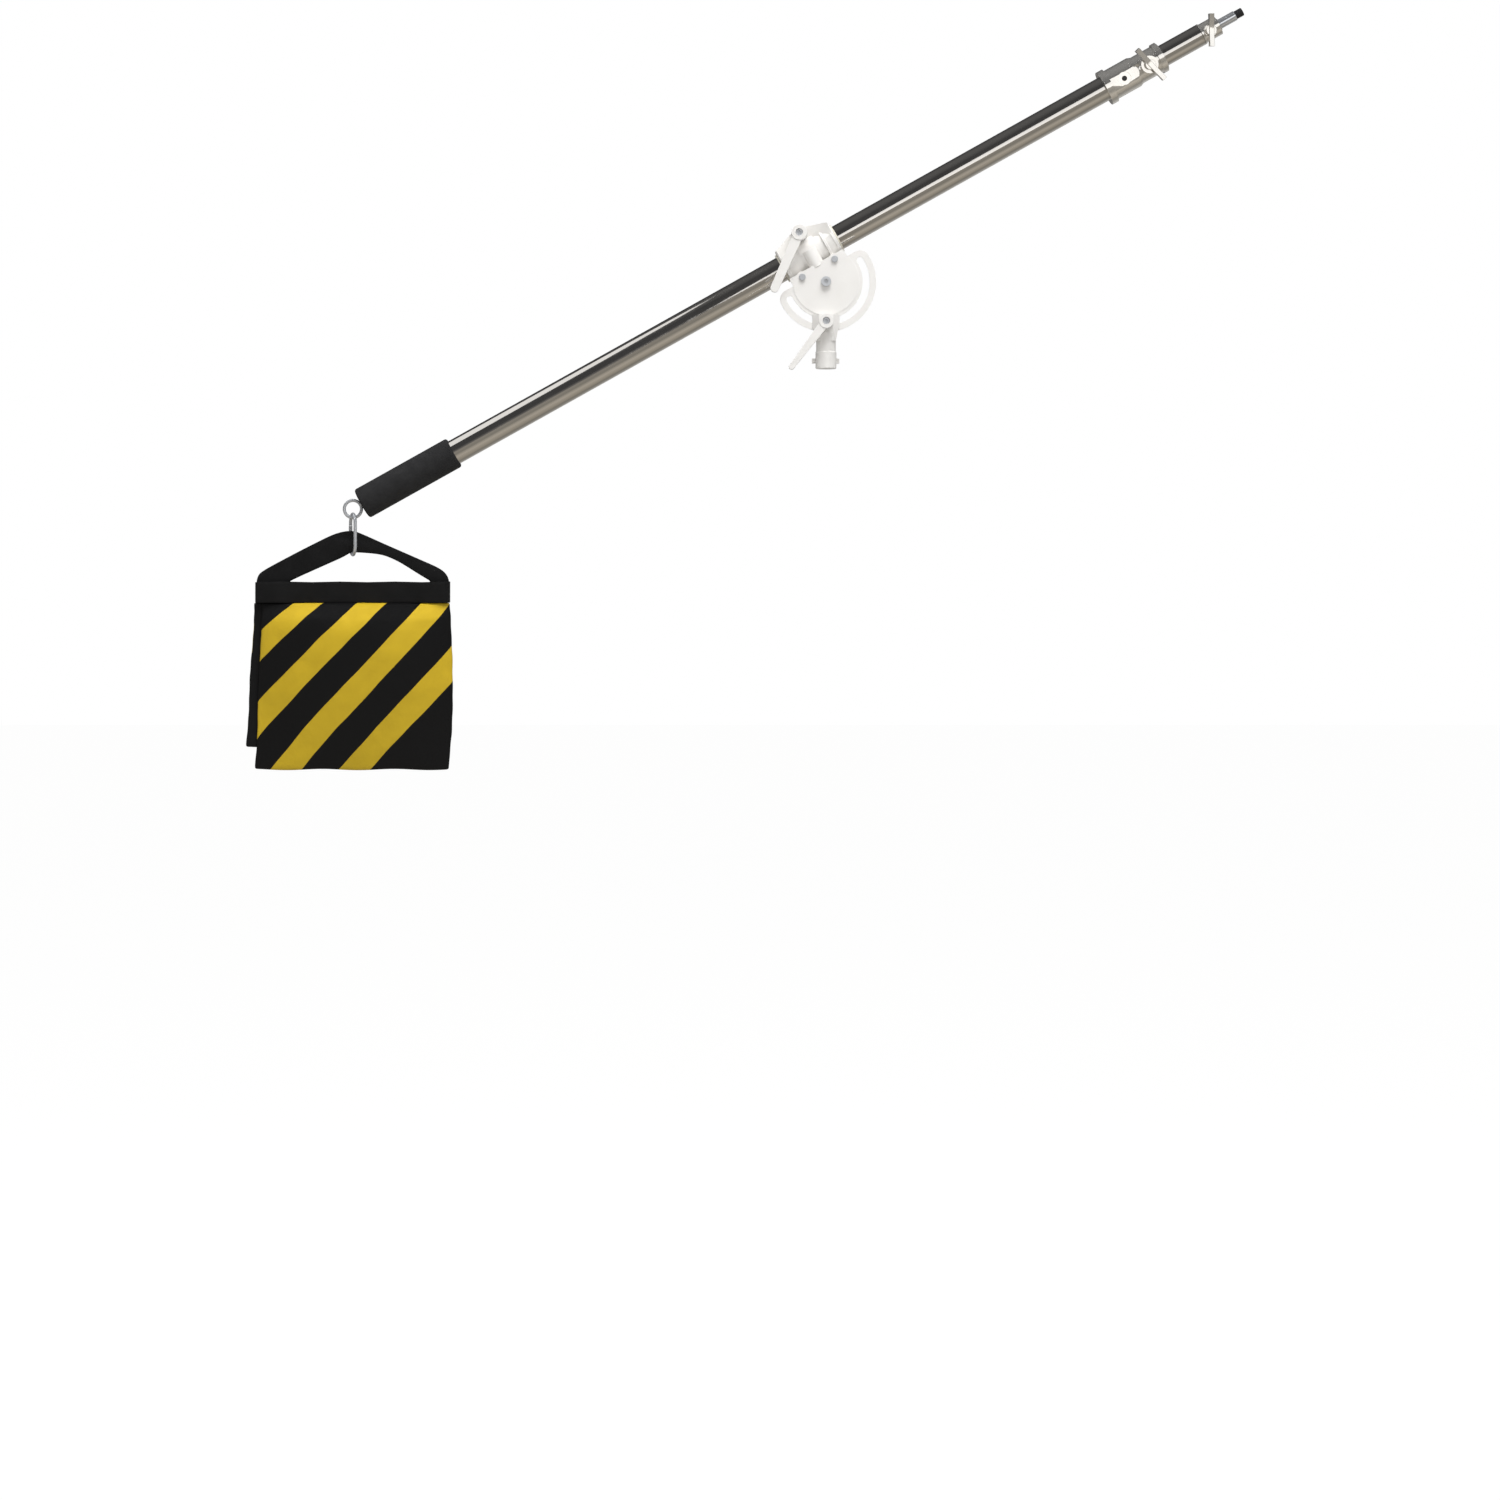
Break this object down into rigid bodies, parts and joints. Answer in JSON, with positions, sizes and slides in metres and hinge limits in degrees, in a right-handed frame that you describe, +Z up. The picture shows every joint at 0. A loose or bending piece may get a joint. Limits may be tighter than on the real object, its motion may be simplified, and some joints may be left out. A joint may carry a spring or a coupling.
{
  "type": "boom arm with swivel head",
  "caption": "Telescoping overhead boom arm on a tilting swivel head with a stand socket, balanced by a striped saddle sandbag on a snap hook.",
  "frame": {"origin": "centre of the mouth of the stand socket, at the receiver's lower rim", "axes": "+Z up along the stand socket, out of the stand and into the head; +X towards the boom's working tip, which leans up 29.2 degrees from level; +Y away from the side with the levers and knobs"},
  "size_m": [1.2528, 0.084, 0.952],
  "materials": {
    "nickel": "pale warm nickel plate on cast alloy, satin",
    "chrome_tube": "mirror chrome on steel tube, warm tint",
    "zinc_hardware": "bright zinc plate on steel",
    "black_steel": "black oxide, satin",
    "black_foam": "dense black foam, matt",
    "black_plastic": "moulded black plastic, matt",
    "nylon": "natural nylon, satin",
    "fibre": "brown fibre friction disc, matt",
    "black_webbing": "black nylon webbing and cloth, matt",
    "striped_cloth": "woven polyester with yellow and black diagonal stripes"
  },
  "bodies": {
    "receiver": {"receiver": "nickel", "pivot_bolt": "zinc_hardware", "pivot_washer": "zinc_hardware", "pivot_nut": "zinc_hardware", "friction_disc": "fibre", "lock_bolt": "zinc_hardware", "lock_washer": "zinc_hardware"},
    "tilt_lever": {"tilt_lever": "nickel", "tilt_lever_screw": "zinc_hardware"},
    "socket_knob": {"socket_knob": "nickel"},
    "sector": {"sector_plate": "nickel", "plate_screw_rear": "zinc_hardware", "plate_screw_front": "zinc_hardware", "clamp_body": "nickel", "clamp_bolt": "zinc_hardware", "clamp_washer_front": "zinc_hardware", "clamp_washer_rear": "zinc_hardware"},
    "clamp_lever": {"clamp_lever": "nickel", "clamp_lever_screw": "zinc_hardware"},
    "liner": {"clamp_liner": "nylon"},
    "boom": {"boom_tube": "chrome_tube", "foam_grip": "black_foam", "rear_plug": "black_plastic", "eye_bolt": "zinc_hardware", "eye_nut": "zinc_hardware", "front_collar": "nickel", "collar_rivet": "black_steel", "brake_shoe": "nylon"},
    "front_knob": {"front_knob": "nickel"},
    "bush": {"collar_bush": "nylon"},
    "inner": {"inner_tube": "chrome_tube", "guide_plug": "black_plastic", "tip_socket": "nickel"},
    "tip_knob": {"tip_knob": "nickel"},
    "spigot": {"spigot_stud": "zinc_hardware", "spigot_cap": "black_plastic"},
    "hook": {"hook_frame": "zinc_hardware", "gate_pin": "zinc_hardware"},
    "hook_gate": {"hook_gate": "zinc_hardware"},
    "bag": {"handle_strap": "black_webbing", "saddle_band": "black_webbing"},
    "front_pouch": {"front_pouch": "striped_cloth"},
    "rear_pouch": {"rear_pouch": "striped_cloth"}
  },
  "joints": [
    {"name": "boom_tilt", "type": "hinge", "parent": "receiver", "child": "sector", "pos_m": [0, 0, 0.10845], "axis": [0, -1, 0], "range_deg": [-119.2, 60.7]},
    {"name": "tilt_lever_turn", "type": "hinge", "parent": "receiver", "child": "tilt_lever", "pos_m": [0, -0.02, 0.05845], "axis": [0, 1, 0], "range_deg": [-90, 90]},
    {"name": "socket_knob_turn", "type": "hinge", "parent": "receiver", "child": "socket_knob", "pos_m": [0, 0.02, 0.011], "axis": [0, 1, 0], "continuous": true},
    {"name": "clamp_lever_turn", "type": "hinge", "parent": "sector", "child": "clamp_lever", "pos_m": [-0.03328, 0.0066, 0.16895], "axis": [0, 1, 0], "range_deg": [-30, 100]},
    {"name": "boom_roll", "type": "hinge", "parent": "sector", "child": "liner", "pos_m": [-0.02051, 0.02485, 0.1451], "axis": [0.8727, 0, 0.4882], "continuous": true},
    {"name": "boom_slide", "type": "slide", "parent": "liner", "child": "boom", "axis": [0.8727, 0, 0.4882], "range_m": [-0.381, 0.468]},
    {"name": "front_knob_turn", "type": "hinge", "parent": "boom", "child": "front_knob", "pos_m": [0.40145, 0.02485, 0.38117], "axis": [-0.0595, 0.9925, 0.1064], "continuous": true},
    {"name": "inner_roll", "type": "hinge", "parent": "boom", "child": "bush", "pos_m": [0.40145, 0.02485, 0.38117], "axis": [0.8727, 0, 0.4882], "continuous": true},
    {"name": "extension", "type": "slide", "parent": "bush", "child": "inner", "axis": [0.8727, 0, 0.4882], "range_m": [-0.042, 0.9]},
    {"name": "tip_knob_turn", "type": "hinge", "parent": "inner", "child": "tip_knob", "pos_m": [0.47825, 0.02485, 0.42413], "axis": [-0.0595, 0.9925, 0.1064], "continuous": true},
    {"name": "spigot_slide", "type": "slide", "parent": "inner", "child": "spigot", "axis": [0.8727, 0, 0.4882], "range_m": [0, 0.02]},
    {"name": "hook_swing", "type": "hinge", "parent": "boom", "child": "hook", "pos_m": [-0.5906, 0.02485, -0.17384], "axis": [0, 1, 0], "range_deg": [-30, 75]},
    {"name": "gate_open", "type": "hinge", "parent": "hook", "child": "hook_gate", "pos_m": [-0.5947, 0.03613, -0.21699], "axis": [0.9397, 0.342, 0], "range_deg": [0, 20], "stiffness_Nm_per_rad": 0.02, "springref_deg": -28.65},
    {"name": "bag_swing", "type": "hinge", "parent": "hook", "child": "bag", "pos_m": [-0.5906, 0.02485, -0.22839], "axis": [1, 0, 0], "range_deg": [-13, 13]},
    {"name": "front_pouch_swing", "type": "hinge", "parent": "bag", "child": "front_pouch", "pos_m": [-0.5906, 0.01585, -0.29079], "axis": [-1, 0, 0], "range_deg": [0, 50]},
    {"name": "rear_pouch_swing", "type": "hinge", "parent": "bag", "child": "rear_pouch", "pos_m": [-0.5906, 0.03385, -0.29079], "axis": [1, 0, 0], "range_deg": [0, 50]}
  ]
}
